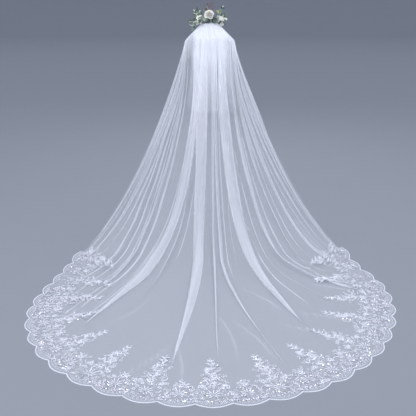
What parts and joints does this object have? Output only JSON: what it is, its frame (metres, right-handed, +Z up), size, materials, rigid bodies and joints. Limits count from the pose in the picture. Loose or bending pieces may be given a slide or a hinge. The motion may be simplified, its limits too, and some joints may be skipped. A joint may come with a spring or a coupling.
{
  "type": "bridal veil with a round train",
  "caption": "two-tier gathered tulle veil on a hair comb, falling open-fronted from head height into a round floor train with a scalloped lace hem and a silk flower spray",
  "frame": {"origin": "the hair comb, at the middle of its bar where the gathers are sewn on, 1.64 m above the floor that the train lies on", "axes": "+Z up; +Y the way the wearer faces; the train trails towards -Y; +X the wearer's right-hand side as seen from in front, the viewer's right seen from behind"},
  "size_m": [2.267, 2.4708, 1.773],
  "materials": {
    "tulle": "sheer white nylon tulle, soft",
    "lace": "white embroidered lace with clear sequins",
    "satin_cord": "white satin cord",
    "satin_ribbon": "white satin ribbon",
    "comb_wire": "bright plated metal",
    "floral_tape": "matt green floral tape over wire",
    "silk_petal": "ivory silk petals, matt",
    "yellow_petal": "yellow-green silk petals, matt",
    "silk_leaf": "grey-green silk leaves, matt",
    "red_berry": "dark red twig and berries, satin"
  },
  "bodies": {
    "root": {"comb": "comb_wire", "gather_band": "satin_ribbon", "short_tier": "tulle", "long_tier_fall": "tulle", "train": "tulle", "lace_border": "lace", "hem_cord": "satin_cord", "flower_wire": "floral_tape", "rose": "silk_petal", "blossom_left": "silk_petal", "blossom_far_left": "silk_petal", "blossom_right": "silk_petal", "blossom_low_right": "silk_petal", "blossom_far_right": "silk_petal", "bud_yellow": "yellow_petal", "sprig_far_left": "silk_leaf", "sprig_hanging_left": "silk_leaf", "sprig_left": "silk_leaf", "sprig_top_left": "silk_leaf", "sprig_top": "silk_leaf", "sprig_top_right": "silk_leaf", "sprig_right": "silk_leaf", "twig_berries": "red_berry"}
  },
  "joints": []
}
